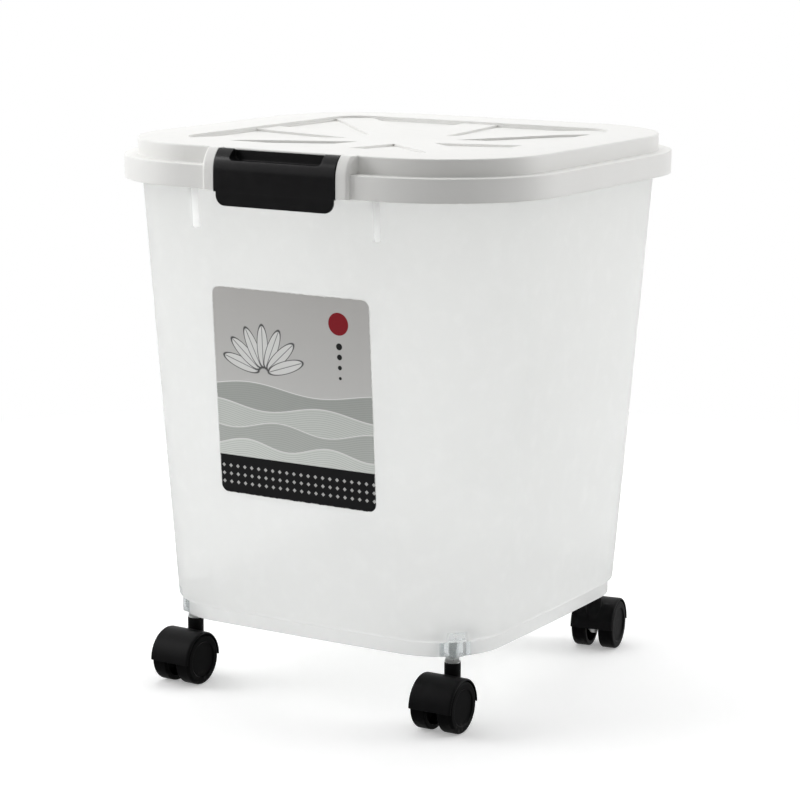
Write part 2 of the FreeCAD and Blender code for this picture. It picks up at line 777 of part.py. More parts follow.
# Hinge knuckles on the lid's rear skirt
knuckle_top_z = ledge_z - size.ledge_round
knuckle_corners = [
    (-skirt_face_in, knuckle_top_z),
    (hinge_out, knuckle_top_z),
    (hinge_out + hinge_radius, hinge_z),
    (hinge_out, hinge_z - hinge_radius),
    (hinge_out - hinge_radius, hinge_z),
    (hinge_out - hinge_radius, skirt_foot_z),
    (-skirt_face_in, skirt_foot_z),
]
knuckle_sketch = new_sketch(lid_solid, "knuckle_side", "YZ_Plane", hinge_half_spacing)
draw_outline(knuckle_sketch, knuckle_corners, {2: hinge_radius, 3: hinge_radius})
knuckle = pad(lid_solid, "hinge_knuckle", knuckle_sketch, size.knuckle_width, SideType="Symmetric")
mirror_across(lid_solid, "hinge_knuckles", [knuckle])
knuckle_hole_sketch = new_sketch(lid_solid, "knuckle_hole", "YZ_Plane", ZERO)
draw_circle(knuckle_hole_sketch, (hinge_out, hinge_z), size.hinge_pin + size.running_clearance * 2)
pocket(lid_solid, "knuckle_holes", knuckle_hole_sketch, hinge_length, SideType="Symmetric")

# Sunk panels between the star's bars, cut to the same fall as the bars
bar_half = size.bar_width / 2
panel_reach = field_half - size.panel_margin
panel_tip = bar_half * (1 + ROOT_TWO)
panel_far = panel_reach - bar_half * ROOT_TWO
panel_corners = [(panel_tip, bar_half), (panel_reach, bar_half), (panel_reach, panel_far)]
panel_prisms = new_body("panel_prisms")
panel_sketch = new_sketch(panel_prisms, "panel_pair", "XY_Plane", plate_under_z)
draw_outline(panel_sketch, panel_corners)
draw_outline(panel_sketch, [(along, across) for across, along in panel_corners])
panel_pair = pad(panel_prisms, "panel_pair_block", panel_sketch, lid_top_z - plate_under_z)
star = panel_prisms.newObject("PartDesign::PolarPattern", "star_panels")
star.Originals = [panel_pair]
star.Axis = (origin_part(panel_prisms, "Z_Axis"), [""])
star.Angle = 360
star.Occurrences = 4
panel_prisms.Tip = star
doc.recompute()
panel_fall = new_body("panel_fall")
fall_sketch = new_sketch(panel_fall, "panel_fall_section", "XZ_Plane", ZERO)
fall_reach = panel_reach * ROOT_TWO
fall_top_z = lid_top_z + size.cut_overrun
draw_outline(
    fall_sketch,
    [
        (ZERO, panel_z - size.dish_depth),
        (dish_radius, panel_z),
        (fall_reach, panel_z),
        (fall_reach, fall_top_z),
        (ZERO, fall_top_z),
    ],
)
revolve(panel_fall, "panel_fall_solid", fall_sketch, "V_Axis")
panels = doc.addObject("Part::Common", "panels")
panels.Base = panel_prisms
panels.Tool = panel_fall
lid = doc.addObject("Part::Cut", "lid")
lid.Base = lid_solid
lid.Tool = panels
doc.recompute()

# Seal: a soft ring under the lid's ledge that meets the rim
lid_seal = new_body("lid_seal")
seal_outline = outline_of(lip_half - size.seal_inset)
seal_foot_z = rim_z + size.seal_gap
seal_inside = inset(seal_outline, size.seal_section)
seal_sketch = bowed_sketch(lid_seal, "seal_ring", seal_foot_z, seal_outline, seal_inside)
pad(lid_seal, "seal", seal_sketch, ledge_under_z - seal_foot_z)
round_edges(lid_seal, "seal_edges", size.seal_round, all_at("z", seal_foot_z))

# Latch: a panel under a rounded shoulder, with a finger pocket above and a hook inside its lower edge
latch = new_body("latch")
latch_foot_z = skirt_foot_z - size.latch_drop
latch_step_z = skirt_foot_z - size.latch_step_drop
barrel_under_z = pivot_z - barrel_radius
latch_back = latch_face + size.latch_wall
latch_sketch = new_sketch(latch, "latch_side", "YZ_Plane", latch_middle)
draw_outline(
    latch_sketch,
    [
        (latch_face, latch_step_z),
        (latch_face, shoulder_z),
        (pivot_y, lid_top_z),
        (pivot_y + barrel_radius, pivot_z),
        (pivot_y, barrel_under_z),
        (latch_back, barrel_under_z),
        (latch_back, latch_step_z),
    ],
    {1: shoulder_over(pivot_y - latch_face), 2: barrel_radius, 3: barrel_radius},
)
pad(latch, "latch_block", latch_sketch, latch_half * 2, SideType="Symmetric")
tongue_face = latch_face + size.tongue_setback
tongue_half = latch_half - size.tongue_inset
tongue_root_z = latch_step_z + size.latch_wall
tongue_sketch = new_sketch(latch, "tongue_side", "YZ_Plane", latch_middle)
draw_outline(
    tongue_sketch,
    [
        (tongue_face, latch_foot_z),
        (tongue_face, tongue_root_z),
        (latch_back, tongue_root_z),
        (latch_back, latch_foot_z),
    ],
)
pad(latch, "tongue", tongue_sketch, tongue_half * 2, SideType="Symmetric")


def on_latch_corner(points):
    """Chooses the two short edges at the tongue's lower corners."""
    away = [abs(abs(point.x - latch_middle.value) - tongue_half.value) for point in points]
    return all_at("z", latch_foot_z)(points) and max(away) < size.running_clearance.value


round_edges(latch, "latch_corners", size.latch_corner, on_latch_corner)

hook_top_z = catch_foot_z - size.hook_gap
hook_tip = -(lip_half + size.hook_clearance)
hook_root = latch_back - size.latch_wall / 2
hook_sketch = new_sketch(latch, "hook_side", "YZ_Plane", latch_middle)
draw_outline(
    hook_sketch,
    [
        (hook_root, hook_top_z),
        (hook_tip, hook_top_z),
        (hook_tip, hook_top_z - size.hook_height + size.hook_chamfer),
        (hook_tip - size.hook_chamfer, hook_top_z - size.hook_height),
        (hook_root, hook_top_z - size.hook_height),
    ],
)
pad(latch, "hook", hook_sketch, hook_half * 2, SideType="Symmetric")
trunnion_sketch = new_sketch(latch, "trunnion_circle", "YZ_Plane", latch_middle)
draw_circle(trunnion_sketch, (pivot_y, pivot_z), size.latch_trunnion)
pad(latch, "trunnions", trunnion_sketch, trunnion_reach * 2, SideType="Symmetric")

pocket_floor_z = lid_top_z - size.pocket_depth
pocket_half = latch_half - size.pocket_margin
pocket_back = pivot_y + barrel_radius - size.pocket_wall
pocket_open_z = lid_top_z + size.cut_overrun
pocket_turn = size.pocket_round
pocket_sketch = new_sketch(latch, "finger_pocket_outline", "XZ_Plane", -pocket_back, across=latch_middle)
draw_outline(
    pocket_sketch,
    [
        (-pocket_half, pocket_open_z),
        (pocket_half, pocket_open_z),
        (pocket_half, pocket_floor_z + pocket_turn),
        (pocket_half - pocket_turn, pocket_floor_z),
        (pocket_turn - pocket_half, pocket_floor_z),
        (-pocket_half, pocket_floor_z + pocket_turn),
    ],
    {2: pocket_turn, 4: pocket_turn},
)
pocket(latch, "finger_pocket", pocket_sketch, -latch_face, Reversed=True)

# Hinge pins: plain steel rods pressed into the tub's ears
pin_reach = size.knuckle_width + (size.hinge_side_gap + size.ear_width) * 2
hinge_pins = []
for side_name, pin_middle in (("left", -hinge_half_spacing), ("right", hinge_half_spacing)):
    hinge_pin = new_body(f"hinge_pin_{side_name}")
    pin_sketch = new_sketch(hinge_pin, f"hinge_pin_{side_name}_circle", "YZ_Plane", pin_middle)
    draw_circle(pin_sketch, (hinge_out, hinge_z), size.hinge_pin)
    pad(hinge_pin, f"hinge_pin_{side_name}_rod", pin_sketch, pin_reach, SideType="Symmetric")
    hinge_pins.append(hinge_pin)

# Casters, each modelled about its own stem with the wheels trailing towards +Y, then turned to its heading
wheel_radius = size.wheel_diameter / 2
wheel_inner = size.wheel_gap / 2
wheel_outer = wheel_inner + size.wheel_width
web_half = wheel_inner - size.web_gap
hood_half = wheel_outer + size.hood_overhang
axle_reach = wheel_outer - size.wheel_dish - size.axle_end_wall - size.axle_end_gap
origin_point = (ZERO, ZERO)
axle_point = (size.caster_trail, axle_z)


def make_stem(label):
    """Steel stem: a thread for the tub's boss, a hexagon to turn it by and a pin that the hood swivels on."""
    stem = new_body(label)
    pin_radius = size.pin_diameter / 2
    thread_radius = size.thread_diameter / 2
    groove_radius = size.ring_groove / 2
    groove_foot = size.ring_height - size.ring_gap
    groove_top = size.ring_height + size.ring_thickness + size.ring_gap
    hexagon_foot = collar_top_z + size.hexagon_gap
    hexagon_top = hexagon_foot + size.hexagon_height
    stem_top = stem_hole_z + size.thread_length
    turned = new_sketch(stem, f"{label}_profile", "XZ_Plane", ZERO)
    draw_outline(
        turned,
        [
            (ZERO, size.pin_foot),
            (pin_radius - size.stem_chamfer, size.pin_foot),
            (pin_radius, size.pin_foot + size.stem_chamfer),
            (pin_radius, groove_foot),
            (groove_radius, groove_foot),
            (groove_radius, groove_top),
            (pin_radius, groove_top),
            (pin_radius, hexagon_top),
            (thread_radius, hexagon_top + size.stem_chamfer),
            (thread_radius, stem_top - size.stem_chamfer),
            (thread_radius - size.stem_chamfer, stem_top),
            (ZERO, stem_top),
        ],
    )
    revolve(stem, f"{label}_rod", turned, "V_Axis")
    flats = new_sketch(stem, f"{label}_hexagon", "XY_Plane", hexagon_foot)
    apex = size.hexagon_width / math.sqrt(3)
    flat = size.hexagon_width / 2
    draw_outline(
        flats,
        [
            (-apex, ZERO), (-apex / 2, flat), (apex / 2, flat),
            (apex, ZERO), (apex / 2, -flat), (-apex / 2, -flat),
        ],
    )
    pad(stem, f"{label}_nut", flats, size.hexagon_height)
    return stem


def make_ring(label):
    """Split steel ring in the stem's groove, which keeps the hood from dropping off its pin."""
    ring = new_body(label)
    section = new_sketch(ring, f"{label}_section", "XZ_Plane", ZERO)
    inner = size.ring_groove / 2 + size.ring_gap
    outer = size.ring_width / 2
    top = size.ring_height + size.ring_thickness
    draw_outline(section, [(inner, size.ring_height), (inner, top), (outer, top), (outer, size.ring_height)])
    turned = revolve(ring, f"{label}_turn", section, "V_Axis")
    turned.setExpression("Angle", f"360 - {size.ring_opening.text}")
    doc.recompute()
    return ring


def make_housing(label):
    """Moulded hood over both wheels, with the web that carries the axle and the collar around the stem."""
    housing = new_body(label)
    dome = new_sketch(housing, f"{label}_dome_side", "YZ_Plane", ZERO)
    crown = (size.caster_trail, axle_z + hood_radius)
    draw_outline(
        dome,
        [(size.caster_trail - hood_radius, axle_z), crown, (size.caster_trail + hood_radius, axle_z)],
        {0: hood_radius, 1: hood_radius},
    )
    pad(housing, f"{label}_dome", dome, hood_half * 2, SideType="Symmetric")
    brow = all_at("x", hood_half)
    cheek = all_at("x", -hood_half)
    level = all_at("z", axle_z)

    def on_hood_rim(points):
        return (brow(points) or cheek(points)) and not level(points)

    round_edges(housing, f"{label}_dome_edges", size.hood_edge_round, on_hood_rim)
    collar = new_sketch(housing, f"{label}_collar_circle", "XY_Plane", size.collar_foot)
    draw_circle(collar, origin_point, size.collar_diameter)
    pad(housing, f"{label}_collar", collar, collar_top_z - size.collar_foot)
    round_edges(housing, f"{label}_collar_edge", size.collar_round, all_at("z", collar_top_z))
    well = new_sketch(housing, f"{label}_well_circle", "YZ_Plane", web_half)
    draw_circle(well, axle_point, well_radius * 2)
    well_cut = pocket(housing, f"{label}_well", well, hood_half + size.cut_overrun, Reversed=True)
    mirror_across(housing, f"{label}_wells", [well_cut])
    hub = new_sketch(housing, f"{label}_axle_boss_circle", "YZ_Plane", ZERO)
    draw_circle(hub, axle_point, size.axle_boss)
    pad(housing, f"{label}_axle_boss", hub, web_half * 2, SideType="Symmetric")
    bore = new_sketch(housing, f"{label}_pin_hole", "XY_Plane", collar_top_z + size.cut_overrun)
    draw_circle(bore, origin_point, size.pin_diameter + size.running_clearance * 2)
    pocket(housing, f"{label}_pin_bore", bore, collar_top_z + size.cut_overrun)
    axle_hole = new_sketch(housing, f"{label}_axle_hole", "YZ_Plane", ZERO)
    draw_circle(axle_hole, axle_point, size.axle_diameter - size.press_interference * 2)
    pocket(housing, f"{label}_axle_bore", axle_hole, hood_half * 2, SideType="Symmetric")
    return housing


def make_axle(label):
    """Plain steel axle, pressed through the hood's web."""
    axle = new_body(label)
    circle = new_sketch(axle, f"{label}_circle", "YZ_Plane", ZERO)
    draw_circle(circle, axle_point, size.axle_diameter)
    pad(axle, f"{label}_rod", circle, axle_reach * 2, SideType="Symmetric")
    return axle


def make_wheel(label, side):
    """Cupped wheel, open towards the web, with a blind hub on the axle. side is 1 or -1 along the axle."""
    wheel = new_body(label)
    section = new_sketch(wheel, f"{label}_section", "XZ_Plane", -size.caster_trail, along=axle_z)
    bore = size.axle_diameter / 2 + size.running_clearance
    face = wheel_outer - size.wheel_dish
    blind = face - size.axle_end_wall
    web_back = face - size.wheel_web
    rim_back = wheel_radius - size.wheel_rim
    edge = size.wheel_edge
    dish = size.wheel_dish_diameter / 2
    corners = [
        (wheel_inner, bore),
        (wheel_inner, size.wheel_hub / 2),
        (web_back, size.wheel_hub / 2),
        (web_back, rim_back),
        (wheel_inner, rim_back),
        (wheel_inner, wheel_radius - edge / 2),
        (wheel_inner + edge / 2, wheel_radius),
        (wheel_outer - edge, wheel_radius),
        (wheel_outer, wheel_radius - edge),
        (wheel_outer, dish + size.wheel_dish),
        (face, dish),
        (face, ZERO),
        (blind, ZERO),
        (blind, bore),
    ]
    arcs = {5: edge / 2, 7: edge}
    if side < 0:
        corners = [(-across, up) for across, up in corners]
        arcs = {number: -radius for number, radius in arcs.items()}
    draw_outline(section, corners, arcs)
    revolve(wheel, f"{label}_turn", section, "H_Axis")
    return wheel


CORNERS = {
    "front_right": (stem_inset, -stem_inset, size.heading_front_right),
    "front_left": (-stem_inset, -stem_inset, size.heading_front_left),
    "rear_right": (stem_inset, stem_inset, size.heading_rear_right),
    "rear_left": (-stem_inset, stem_inset, size.heading_rear_left),
}
caster_pieces = []
for corner_name, (across, along, heading) in CORNERS.items():
    prefix = f"caster_{corner_name}"
    pieces = [
        make_stem(f"{prefix}_stem"),
        make_ring(f"{prefix}_ring"),
        make_housing(f"{prefix}_housing"),
        make_axle(f"{prefix}_axle"),
        make_wheel(f"{prefix}_wheel_left", -1),
        make_wheel(f"{prefix}_wheel_right", 1),
    ]
    for piece in pieces:
        turn = FreeCAD.Rotation(FreeCAD.Vector(0, 0, 1), heading.value)
        piece.Placement = FreeCAD.Placement(FreeCAD.Vector(0, 0, 0), turn)
        piece.setExpression("Placement.Base.x", across.text)
        piece.setExpression("Placement.Base.y", along.text)
    caster_pieces.extend(pieces)

doc.recompute()
failed = [item.Name for item in doc.Objects if {"Invalid", "Error"} & set(item.State)]
if failed:
    raise RuntimeError(f"these objects failed: {failed}")

nodes = [bucket, front_label, lid, lid_seal, latch, *hinge_pins, *caster_pieces]
for node in nodes:
    if node.Shape.isNull() or not node.Shape.isValid():
        raise RuntimeError(f"{node.Label} has no sound shape")

os.makedirs("parts", exist_ok=True)
for node in nodes:
    node.Shape.exportStep(f"parts/{node.Label}.step")
    box = node.Shape.BoundBox
    solids = len(node.Shape.Solids)
    print(f"{node.Label}: {solids} solid, {node.Shape.Volume:.0f} mm3, z {box.ZMin:.2f} to {box.ZMax:.2f}")
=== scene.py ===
import math

import bpy
from mathutils import Matrix, Vector


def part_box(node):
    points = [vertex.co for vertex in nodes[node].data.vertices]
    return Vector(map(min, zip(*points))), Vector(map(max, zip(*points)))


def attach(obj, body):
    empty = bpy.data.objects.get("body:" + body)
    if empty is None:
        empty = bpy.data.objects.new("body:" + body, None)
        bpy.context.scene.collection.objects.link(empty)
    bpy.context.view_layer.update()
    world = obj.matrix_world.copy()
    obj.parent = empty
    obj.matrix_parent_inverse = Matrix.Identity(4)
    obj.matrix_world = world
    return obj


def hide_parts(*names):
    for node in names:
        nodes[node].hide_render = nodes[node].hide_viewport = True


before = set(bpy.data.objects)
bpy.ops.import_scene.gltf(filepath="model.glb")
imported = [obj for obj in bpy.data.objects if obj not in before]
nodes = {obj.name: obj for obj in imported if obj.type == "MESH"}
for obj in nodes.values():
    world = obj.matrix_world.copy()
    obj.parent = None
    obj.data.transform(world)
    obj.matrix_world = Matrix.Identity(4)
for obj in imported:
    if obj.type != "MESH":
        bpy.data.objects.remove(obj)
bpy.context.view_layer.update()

# Tub: one moulding of milky polypropylene, drafted so that it leaves its mould, satin inside and out.
# Light passes through its walls and is scattered on the way, so only what touches them shows clearly.
# The plinth, the corner bosses, the rim, the ribs and the hinge ears are all part of the same moulding.

MILLIMETRE = 0.001


class Tone:
    """One output of a material's nodes. Sums and products of tones add the Math nodes that they need."""

    def __init__(self, tree, socket=None):
        self.tree = tree
        self.socket = socket

    def node(self, kind, settings=None, inputs=None, output=0):
        """Adds any node: its settings first, then the values or links of its sockets."""
        made = self.tree.nodes.new(kind)
        for name, setting in (settings or {}).items():
            setattr(made, name, setting)
        for name, value in (inputs or {}).items():
            if isinstance(value, Tone):
                self.tree.links.new(value.socket, made.inputs[name])
            else:
                made.inputs[name].default_value = value
        return Tone(self.tree, made.outputs[output])

    def maths(self, operation, first, second=0.0):
        return self.node("ShaderNodeMath", {"operation": operation}, {0: first, 1: second})

    def __add__(self, other):
        return self.maths("ADD", self, other)

    def __radd__(self, other):
        return self.maths("ADD", other, self)

    def __sub__(self, other):
        return self.maths("SUBTRACT", self, other)

    def __rsub__(self, other):
        return self.maths("SUBTRACT", other, self)

    def __mul__(self, other):
        return self.maths("MULTIPLY", self, other)

    def __rmul__(self, other):
        return self.maths("MULTIPLY", other, self)


def begin_finish(name):
    """A new material, its main shader and a tone of the object's own coordinates."""
    material = bpy.data.materials.new(name)
    material.use_nodes = True
    shader = material.node_tree.nodes["Principled BSDF"]
    place = Tone(material.node_tree).node("ShaderNodeTexCoord", output="Object")
    return material, shader, place


def feed(shader, socket, tone):
    """Links a tone to one of the shader's sockets."""
    tone.tree.links.new(tone.socket, shader.inputs[socket])


def noise(place, scale, detail=3.0):
    """Soft random tone from 0 to 1. scale counts its patches along one metre."""
    return place.node("ShaderNodeTexNoise", inputs={"Vector": place, "Scale": scale, "Detail": detail})


def stepped(tone, low, high):
    """A tone that rises from 0 to 1 between two of another's values."""
    return tone.node("ShaderNodeMapRange", inputs={"Value": tone, "From Min": low, "From Max": high})


def mixed(share, first, second):
    """A colour between two colours."""
    return share.node("ShaderNodeMix", {"data_type": "RGBA"}, {0: share, 6: first, 7: second}, output=2)


def on_axis(place, axis):
    """One coordinate of a place: 0 is across, 1 is backwards and 2 is up."""
    return place.node("ShaderNodeSeparateXYZ", inputs={0: place}, output=axis)


def length_of(first, second):
    """Length of a flat vector, from its two parts."""
    return first.maths("SQRT", first * first + second * second)


def bumped(shader, height, depth, strength, base=None):
    """Gives the shader a relief of a depth in metres, over the normal that base gives where there is one."""
    inputs = {"Height": height, "Distance": depth, "Strength": strength}
    if base:
        inputs["Normal"] = base
    feed(shader, "Normal", height.node("ShaderNodeBump", inputs=inputs))


def dress(material, *names):
    """Gives CAD nodes their material."""
    for name in names:
        mesh = nodes[name].data
        mesh.materials.clear()
        mesh.materials.append(material)


# Corner bosses: where a stem is screwed in, the wall shows greyer and clearer
boss_low, boss_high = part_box("caster_front_right_stem")
boss_out = (boss_low[0] + boss_high[0]) / 2
boss_reach = 14.6 * MILLIMETRE
boss_top = 76.0 * MILLIMETRE
boss_blur = 1.2 * MILLIMETRE
boss_tint = (0.74, 0.78, 0.79, 1)
boss_milk_loss = 0.4

# Walls: a clear satin plastic, mixed with a share of milk that scatters the light
grain_detail = 2.0
rub_detail = 6.0
tub_flow_scale = 9.0
tub_grain_scale = 1400.0
tub_rub_scale = 70.0
tub_rub_limits = (0.5, 0.8)
tub_dim = (0.955, 0.96, 0.957, 1)
tub_bright = (0.985, 0.988, 0.985, 1)
tub_relief = 0.12 * MILLIMETRE
tub_relief_strength = 0.12
tub_roughness = 0.12
tub_flow_roughness = 0.04
tub_rub_roughness = 0.02
milk_tint = (0.985, 0.988, 0.985, 1)
wall_milk = 0.57
flow_milk = 0.03
rub_milk = 0.02
tub_finish, tub_shader, tub_place = begin_finish("milky_polypropylene")
tub_flow = noise(tub_place, tub_flow_scale)
tub_grain = noise(tub_place, tub_grain_scale, grain_detail)
tub_rubs = stepped(noise(tub_place, tub_rub_scale, rub_detail), *tub_rub_limits)
from_boss = [tub_place.maths("ABSOLUTE", on_axis(tub_place, axis)) - boss_out for axis in (0, 1)]
boss_across = stepped(length_of(*from_boss), boss_reach, boss_reach - boss_blur)
boss_under = stepped(on_axis(tub_place, 2), boss_top, boss_top - boss_blur)
tub_boss = boss_across * boss_under
tub_colour = mixed(tub_flow, tub_dim, tub_bright)
feed(tub_shader, "Base Color", mixed(tub_boss, tub_colour, boss_tint))
tub_dulled = tub_flow_roughness * tub_flow + tub_rub_roughness * tub_rubs
feed(tub_shader, "Roughness", tub_roughness + tub_dulled)
bumped(tub_shader, tub_grain, tub_relief, tub_relief_strength)
tub_shader.inputs["IOR"].default_value = 1.45
tub_shader.inputs["Transmission Weight"].default_value = 0.95
tub_clear = Tone(tub_place.tree, tub_shader.outputs[0])
tub_milk = tub_place.node("ShaderNodeBsdfTranslucent", inputs={"Color": milk_tint})
milk_share = wall_milk + flow_milk * tub_flow + rub_milk * tub_rubs - boss_milk_loss * tub_boss
tub_look = tub_place.node("ShaderNodeMixShader", inputs={0: milk_share, 1: tub_clear, 2: tub_milk})
feed(tub_finish.node_tree.nodes["Material Output"], "Surface", tub_look)
dress(tub_finish, "bucket")

# Label: a printed plastic film, die cut with round corners and stuck to the front wall by its back.
# The print is a plain design of terraced fields under a fan of leaves, above a dark patterned border.
# Its sizes are in millimetres, measured across and up from the film's lower left corner.

label_low, label_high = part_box("front_label")
label_width = (label_high[0] - label_low[0]) / MILLIMETRE
label_height = (label_high[2] - label_low[2]) / MILLIMETRE
print_blur = 0.14
label_finish, label_shader, label_place = begin_finish("printed_film")
across = (on_axis(label_place, 0) - label_low[0]) * (1 / MILLIMETRE)
upward = (on_axis(label_place, 2) - label_low[2]) * (1 / MILLIMETRE)


def inked(distance):
    """1 where a distance in millimetres is above zero, with a printed edge."""
    return stepped(distance, -print_blur, print_blur)


# Grey field, lighter towards its foot
field_low = (0.66, 0.66, 0.645, 1)
field_high = (0.53, 0.52, 0.505, 1)
field_foot_share = 0.35
field_fade = stepped(upward, field_foot_share * label_height, label_height)
label_colour = mixed(field_fade, field_low, field_high)

# Terraces: each a wave that runs across the whole label, furrowed, with a pale edge
terrace_tones = (0.46, 0.70, 0.55, 0.78)
terrace_tint_shares = (0.96, 1.0, 0.95)
terrace_foot_share = 0.2
terrace_height = 15.0
terrace_lead = 0.4
terrace_swing = 3.4
terrace_edge = 0.7
terrace_rim = (0.86, 0.86, 0.85, 1)
wave_rate = 0.052
wave_rate_growth = 0.011
wave_shift = 1.9
furrow_inset = 1.6
furrow_pitch = 1.7
furrow_limits = (0.3, 0.7)
furrow_share = 0.28
furrow_ink = (0.25, 0.26, 0.25, 1)
for step, tone in enumerate(terrace_tones):
    above = len(terrace_tones) - step - terrace_lead
    crest = terrace_foot_share * label_height + terrace_height * above
    wave = across.maths("SINE", across * (wave_rate + wave_rate_growth * step) + wave_shift * step)
    depth = crest + terrace_swing * wave - upward
    furrow = depth.maths("SINE", depth * (2 * math.pi / furrow_pitch))
    furrowed = inked(depth - furrow_inset) * stepped(furrow, *furrow_limits)
    terrace_tint = [share * tone for share in terrace_tint_shares]
    label_colour = mixed(inked(depth), label_colour, terrace_rim)
    label_colour = mixed(inked(depth - terrace_edge), label_colour, (*terrace_tint, 1))
    label_colour = mixed(furrow_share * furrowed, label_colour, furrow_ink)

# Fan of leaves, pale with a dark outline and a dark vein
leaves_each_side = 3
leaf_turn = 24
leaf_root = (44.0, 97.0)
leaf_length = 21.0
leaf_half_width = 5.0
leaf_half_share = 0.82
leaf_outline = 0.55
leaf_ink = (0.10, 0.10, 0.10, 1)
leaf_pale = (0.79, 0.79, 0.775, 1)
vein_half_width = 0.3
vein_half_share = 0.7
vein_ink = (0.22, 0.22, 0.22, 1)
leaf_across = across - leaf_root[0]
leaf_upward = upward - leaf_root[1]
for turn in range(-leaves_each_side, leaves_each_side + 1):
    angle = math.radians(90 - leaf_turn * turn)
    along = leaf_across * math.cos(angle) + leaf_upward * math.sin(angle)
    aside = leaf_upward * math.cos(angle) - leaf_across * math.sin(angle)
    middle = along - leaf_length
    slim = length_of(middle * (leaf_half_width / (leaf_half_share * leaf_length)), aside)
    vein_side = inked(vein_half_width - aside.maths("ABSOLUTE", aside))
    vein_end = inked(vein_half_share * leaf_length - middle.maths("ABSOLUTE", middle))
    label_colour = mixed(inked(leaf_half_width - slim), label_colour, leaf_ink)
    label_colour = mixed(inked(leaf_half_width - leaf_outline - slim), label_colour, leaf_pale)
    label_colour = mixed(vein_side * vein_end, label_colour, vein_ink)

# Dark red disc and the row of dots that falls away from it
disc_middle = (112.0, 141.0)
disc_radius = 8.6
disc_ink = (0.27, 0.012, 0.02, 1)
dot_count = 4
dot_drop = 17.0
dot_pitch = 8.0
dot_radius = 2.6
dot_shrink = 0.45
dot_ink = (0.02, 0.02, 0.02, 1)
disc_across = across - disc_middle[0]
disc_away = length_of(disc_across, upward - disc_middle[1])
label_colour = mixed(inked(disc_radius - disc_away), label_colour, disc_ink)
for number in range(dot_count):
    dot_away = length_of(disc_across, upward - (disc_middle[1] - dot_drop - dot_pitch * number))
    label_colour = mixed(inked(dot_radius - dot_shrink * number - dot_away), label_colour, dot_ink)

# Dark border along the foot with three rows of lozenges
border_height = 30.0
border_margin = 5.4
border_ink = (0.011, 0.011, 0.012, 1)
lozenge_pitch = 6.4
lozenge_turn = 0.5
lozenge_limits = (0.72, 0.78)
lozenge_ink = (0.52, 0.52, 0.51, 1)
border = inked(border_height - upward)
from_column = across.maths("PINGPONG", across * (1 / lozenge_pitch), lozenge_turn)
from_row = upward.maths("PINGPONG", (upward - border_margin) * (1 / lozenge_pitch), lozenge_turn)
lozenge = stepped(from_column + from_row, *lozenge_limits)
inside_border = inked(upward - border_margin) * inked(border_height - border_margin - upward)
label_colour = mixed(border, label_colour, border_ink)
label_colour = mixed(border * inside_border * lozenge, label_colour, lozenge_ink)

# Bare film at the cut edge, rubbed unevenly, and the film's own fine texture
bare_film = (0.8, 0.8, 0.79, 1)
film_wear_scale = 260.0
film_wear_fall = 0.55
film_wear_limits = (0.18, 0.42)
film_wear_share = 0.7
film_grain_scale = 900.0
film_ripple_scale = 60.0
film_ripple_share = 3
film_relief = 0.05 * MILLIMETRE
film_relief_strength = 0.2
film_roughness = 0.3
film_grain_roughness = 0.12
film_wear_roughness = 0.15
side_gap = across.maths("MINIMUM", across, label_width - across)
end_gap = upward.maths("MINIMUM", upward, label_height - upward)
edge_gap = side_gap.maths("MINIMUM", side_gap, end_gap)
film_wear = stepped(noise(label_place, film_wear_scale) - film_wear_fall * edge_gap, *film_wear_limits)
film_grain = noise(label_place, film_grain_scale, grain_detail)
film_ripple = film_ripple_share * noise(label_place, film_ripple_scale)
film_dulled = film_grain_roughness * film_grain + film_wear_roughness * film_wear
feed(label_shader, "Base Color", mixed(film_wear_share * film_wear, label_colour, bare_film))
feed(label_shader, "Roughness", film_roughness + film_dulled)
bumped(label_shader, film_grain + film_ripple, film_relief, film_relief_strength)
label_shader.inputs["Specular IOR Level"].default_value = 0.2
dress(label_finish, "front_label")

# Hinge pins: plain zinc plated steel rods, pressed through the ears at the back of the tub.
# The plating is a dull mirror, cloudy and finely pitted.

cloud_detail = 4.0
zinc_cloud_scale = 320.0
zinc_pit_scale = 2600.0
zinc_dull = (0.5, 0.51, 0.5, 1)
zinc_bright = (0.72, 0.73, 0.72, 1)
zinc_relief = 0.05 * MILLIMETRE
zinc_relief_strength = 0.25
zinc_roughness = 0.2
zinc_cloud_roughness = 0.22
zinc_finish, zinc_shader, zinc_place = begin_finish("zinc_plated_steel")
zinc_cloud = noise(zinc_place, zinc_cloud_scale, cloud_detail)
zinc_pits = noise(zinc_place, zinc_pit_scale, grain_detail)
feed(zinc_shader, "Base Color", mixed(zinc_cloud, zinc_dull, zinc_bright))
feed(zinc_shader, "Roughness", zinc_roughness + zinc_cloud_roughness * zinc_cloud)
bumped(zinc_shader, zinc_pits, zinc_relief, zinc_relief_strength)
zinc_shader.inputs["Metallic"].default_value = 1.0
dress(zinc_finish, "hinge_pin_left", "hinge_pin_right")

# Caster stems: turned from steel rod with a rolled thread above, a hexagon to tighten it by and a plain pin
# below. The thread screws into a corner boss of the tub, and the caster's hood swivels on the pin.
# Sizes of the stems and the washers are in millimetres.

CORNERS = ("front_right", "front_left", "rear_right", "rear_left")
stem_low, stem_high = (corner[2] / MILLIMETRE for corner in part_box("caster_front_right_stem"))
ring_low, ring_high = (corner[2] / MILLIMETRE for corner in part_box("caster_front_right_ring"))
housing_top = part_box("caster_front_right_housing")[1][2] / MILLIMETRE
pin_radius = 3.0
groove_radius = 2.4
groove_gap = 0.05
stem_chamfer = 0.6
stem_sides = 32
stem_smooth_angle = math.radians(32)
hexagon_width = 10.0
hexagon_height = 3.2
hexagon_gap = 0.3
hexagon_edge = 0.35
hexagon_turn = math.radians(30)
hexagon_foot = housing_top + hexagon_gap
thread_foot = hexagon_foot + hexagon_height
thread_pitch = 1.0
thread_crest = 3.0
thread_root = 2.45
rings_per_pitch = 8


